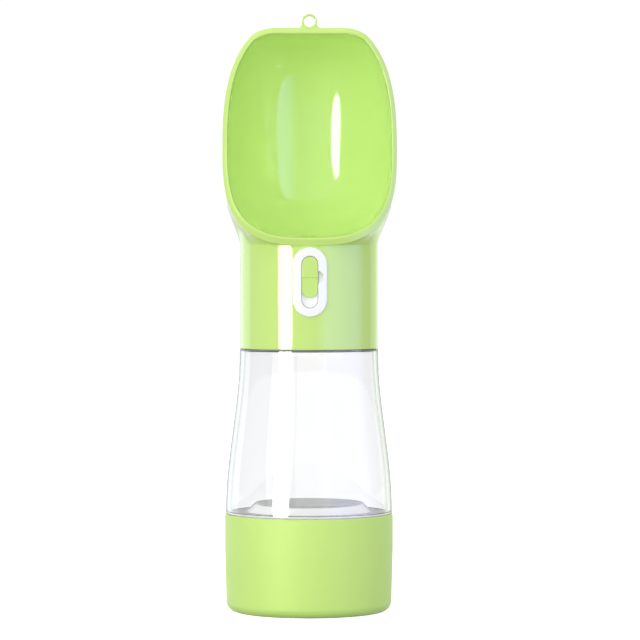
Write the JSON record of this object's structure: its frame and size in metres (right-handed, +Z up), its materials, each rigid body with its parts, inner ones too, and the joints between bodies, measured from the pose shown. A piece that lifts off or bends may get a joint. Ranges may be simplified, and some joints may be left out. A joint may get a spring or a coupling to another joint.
{
  "type": "dog travel water bottle",
  "caption": "Hand-held dog drinking bottle: scoop trough on a sleeve with push button and lock key, clear bottle with raised floor, and screw-on food cup as its foot.",
  "frame": {"origin": "centre of the food cup's foot on the ground, which is the bottom centre of the bounding box", "axes": "+Z up along the bottle to the lanyard eye; -Y is the front, where the trough opens and the button is; +X is to the right seen from the front"},
  "size_m": [0.0778, 0.0756, 0.2679],
  "materials": {
    "green_plastic": "glossy pale green ABS",
    "white_plastic": "glossy white ABS",
    "clear_plastic": "clear glossy copolyester",
    "grey_silicone": "satin silicone",
    "black_rubber": "satin nitrile rubber",
    "grey_plastic": "satin acetal",
    "steel": "stainless, fine satin"
  },
  "bodies": {
    "bottle": {"bottle_body": "clear_plastic"},
    "neck_ring": {"shoulder_ring": "grey_silicone"},
    "head": {"head_shell": "green_plastic", "head_core": "white_plastic", "mouth_gasket": "grey_silicone", "core_seal_ring": "grey_silicone", "outlet_seal": "grey_silicone", "button_bezel": "white_plastic", "stem_bush": "grey_plastic", "stem_seal": "black_rubber", "chamber_cap": "white_plastic", "return_spring": "steel"},
    "button": {"button_plunger": "white_plastic", "plunger_plate": "white_plastic", "valve_stem": "steel", "spring_seat": "white_plastic", "valve_plug": "grey_silicone", "plug_retainer": "white_plastic"},
    "key": {"lock_key": "green_plastic", "key_clip": "steel"},
    "cup_ring": {"cup_gasket": "grey_silicone"},
    "cup": {"food_cup": "green_plastic"}
  },
  "joints": [
    {"name": "head_turn", "type": "hinge", "parent": "bottle", "child": "neck_ring", "pos_m": [0, 0, 0.1179], "axis": [0, 0, 1], "range_deg": [0, 540]},
    {"name": "head_rise", "type": "slide", "parent": "neck_ring", "child": "head", "axis": [0, 0, 1], "range_m": [0, 0.006]},
    {"name": "button_press", "type": "slide", "parent": "head", "child": "button", "axis": [0, 1, 0], "range_m": [0, 0.003], "stiffness_N_per_m": 300, "springref_m": -0.004, "deforming": ["return_spring"]},
    {"name": "lock_slide", "type": "slide", "parent": "button", "child": "key", "axis": [0, 0, -1], "range_m": [0, 0.0044]},
    {"name": "cup_turn", "type": "hinge", "parent": "bottle", "child": "cup_ring", "pos_m": [0, 0, 0.0435], "axis": [0, 0, -1], "range_deg": [0, 540]},
    {"name": "cup_drop", "type": "slide", "parent": "cup_ring", "child": "cup", "axis": [0, 0, -1], "range_m": [0, 0.006]}
  ],
  "couplings": [
    {"joint": "head_turn", "follows": "head_rise", "rad_per_m": 1570.8},
    {"joint": "cup_turn", "follows": "cup_drop", "rad_per_m": 1570.8}
  ]
}
